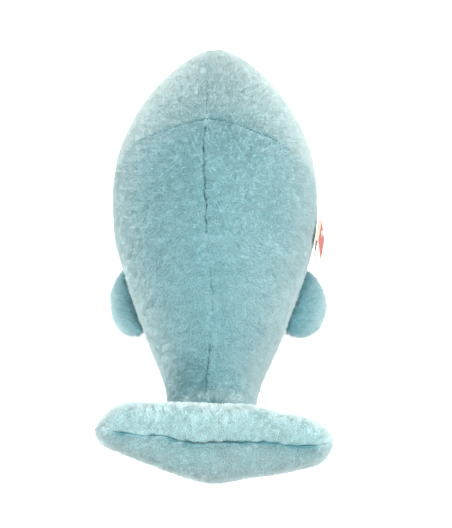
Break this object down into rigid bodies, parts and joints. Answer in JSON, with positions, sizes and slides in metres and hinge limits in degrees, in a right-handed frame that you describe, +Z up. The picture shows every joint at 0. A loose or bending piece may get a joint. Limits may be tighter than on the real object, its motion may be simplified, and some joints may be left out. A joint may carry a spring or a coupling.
{
  "type": "plush whale",
  "caption": "Stuffed plush whale with a tapering body, flippers sewn into the side seams, a curled-up tail fluke, safety eyes and a hang tag.",
  "frame": {"origin": "middle of the flat patch of the belly that the whale rests on", "axes": "+Z up, +Y from the nose to the tail along the symmetry plane, +X to the whale's left"},
  "size_m": [0.1752, 0.4377, 0.1442],
  "materials": {
    "plush": "teal short-pile plush",
    "belly_plush": "pale short-pile plush",
    "polyester_fill": "white hollow-fibre filling, compressed",
    "eye_plastic": "polished black",
    "washer_plastic": "moulded natural white",
    "tag_card": "coated card, coral red with a cream edge",
    "clear_plastic": "clear fastener filament"
  },
  "bodies": {
    "body": {"head_panel_left": "plush", "head_panel_right": "plush", "back_panel_left": "plush", "back_panel_right": "plush", "belly_panel": "belly_plush", "body_stuffing": "polyester_fill", "eye_left": "eye_plastic", "eye_right": "eye_plastic", "eye_washer_left": "washer_plastic", "eye_washer_right": "washer_plastic", "tag_fastener": "clear_plastic"},
    "flipper_left": {"flipper_left_top_panel": "plush", "flipper_left_bottom_panel": "plush", "flipper_left_stuffing": "polyester_fill"},
    "flipper_right": {"flipper_right_top_panel": "plush", "flipper_right_bottom_panel": "plush", "flipper_right_stuffing": "polyester_fill"},
    "fluke": {"fluke_top_panel": "plush", "fluke_bottom_panel": "plush", "fluke_stuffing": "polyester_fill"},
    "tag": {"tag_card": "tag_card"}
  },
  "joints": [
    {"name": "flipper_left_flop", "type": "hinge", "parent": "body", "child": "flipper_left", "pos_m": [0.06613, 0.03219, 0.03062], "axis": [0.2459, -0.9693, 0.0008], "range_deg": [-8, 45], "stiffness_Nm_per_rad": 0.02},
    {"name": "flipper_right_flop", "type": "hinge", "parent": "body", "child": "flipper_right", "pos_m": [-0.06613, 0.03219, 0.03062], "axis": [0.2459, 0.9693, -0.0008], "range_deg": [-8, 45], "stiffness_Nm_per_rad": 0.02},
    {"name": "fluke_bend", "type": "hinge", "parent": "body", "child": "fluke", "pos_m": [0, 0.204, 0.08818], "axis": [1, 0, 0], "range_deg": [-25, 12], "stiffness_Nm_per_rad": 0.8},
    {"name": "tag_swing", "type": "hinge", "parent": "body", "child": "tag", "pos_m": [-0.07817, 0.00806, 0.07301], "axis": [-0.9864, 0.1641, 0], "range_deg": [-35, 35]}
  ]
}
